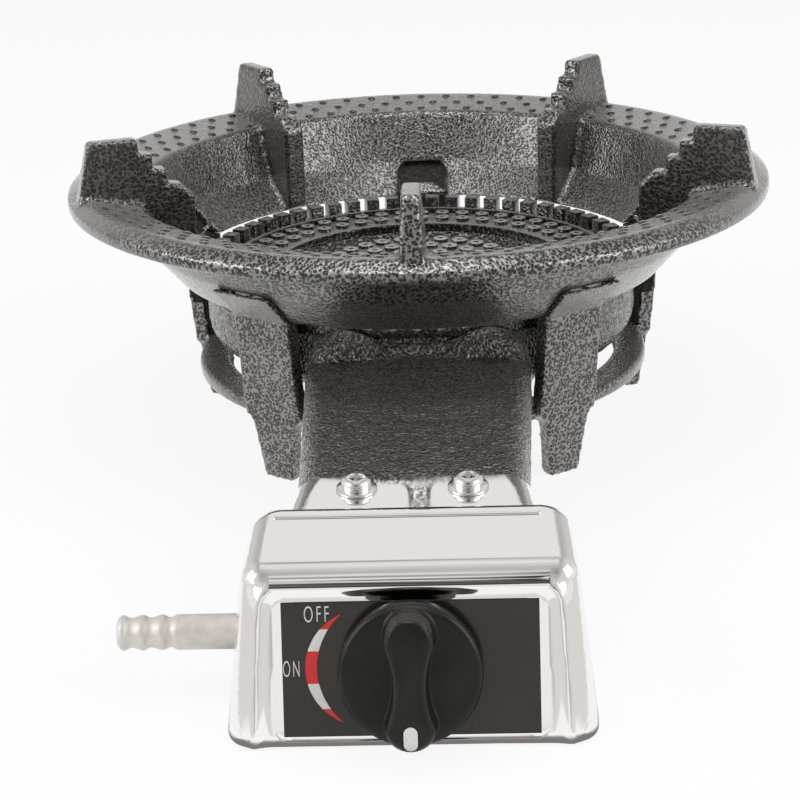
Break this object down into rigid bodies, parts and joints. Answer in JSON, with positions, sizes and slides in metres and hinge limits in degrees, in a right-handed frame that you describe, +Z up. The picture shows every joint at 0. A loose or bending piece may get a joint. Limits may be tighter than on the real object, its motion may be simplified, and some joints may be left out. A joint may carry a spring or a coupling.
{
  "type": "single burner gas stove",
  "caption": "Low cast gas stove: a legged bowl with stepped pot fingers over a double ring burner, whose flat arm runs to a plated control cover with a valve knob and a hose barb.",
  "frame": {"origin": "on the floor, at the bottom centre of the whole stove's box", "axes": "+Z up, the control cover towards -Y and the burner towards +Y, +X to the right of a person who faces the knob"},
  "size_m": [0.29, 0.4689, 0.1305],
  "materials": {
    "frame_iron": "speckled grey and black hammered paint, semi-gloss",
    "burner_iron": "speckled grey and black hammered paint, semi-gloss",
    "cover_chrome": "bright plated",
    "screw_steel": "zinc plated",
    "dial_print": "dark printed face, satin",
    "knob_black": "satin moulded",
    "pointer_white": "white",
    "valve_brass": "machined",
    "barb_plated": "dull nickel plated",
    "seal_rubber": "black"
  },
  "bodies": {
    "stove": {"bowl_and_rim": "frame_iron", "pot_fingers": "frame_iron", "frame_legs": "frame_iron", "base_ring": "frame_iron", "burner_casting": "burner_iron", "control_cover": "cover_chrome", "cover_screws": "screw_steel", "cover_washers": "screw_steel", "bonnet_screws": "screw_steel", "valve_screws": "screw_steel", "burner_bolts": "screw_steel", "dial_plate": "dial_print", "valve_body": "valve_brass", "valve_bonnet": "valve_brass", "inner_jet": "valve_brass", "outer_jet": "valve_brass", "hose_barb": "barb_plated", "bonnet_gasket": "seal_rubber", "stem_seal": "seal_rubber", "inlet_washer": "seal_rubber"},
    "plug": {"valve_plug": "valve_brass", "plug_spring": "screw_steel"},
    "knob": {"control_knob": "knob_black", "knob_pointer": "pointer_white", "knob_clip": "screw_steel", "valve_stem": "valve_brass"},
    "outer_ring": {"outer_burner_ring": "burner_iron"},
    "inner_cap": {"inner_burner_cap": "burner_iron"},
    "inner_shutter": {"inner_air_shutter": "screw_steel"},
    "outer_shutter": {"outer_air_shutter": "screw_steel"}
  },
  "joints": [
    {"name": "knob_turn", "type": "hinge", "parent": "stove", "child": "plug", "pos_m": [0, -0.20554, 0.02399], "axis": [0, 0.9676, -0.2524], "range_deg": [0, 132]},
    {"name": "knob_push", "type": "slide", "parent": "plug", "child": "knob", "axis": [0, 0.9676, -0.2524], "range_m": [0, 0.0025], "stiffness_N_per_m": 800, "springref_m": -0.004},
    {"name": "outer_ring_lift", "type": "slide", "parent": "stove", "child": "outer_ring", "axis": [0, 0, 1], "range_m": [0, 0.08]},
    {"name": "inner_cap_lift", "type": "slide", "parent": "stove", "child": "inner_cap", "axis": [0, 0, 1], "range_m": [0, 0.08]},
    {"name": "inner_air_turn", "type": "hinge", "parent": "stove", "child": "inner_shutter", "pos_m": [-0.018, -0.13832, 0.0365], "axis": [0, 1, 0], "range_deg": [0, 60]},
    {"name": "outer_air_turn", "type": "hinge", "parent": "stove", "child": "outer_shutter", "pos_m": [0.018, -0.13832, 0.0365], "axis": [0, 1, 0], "range_deg": [0, 60]}
  ]
}
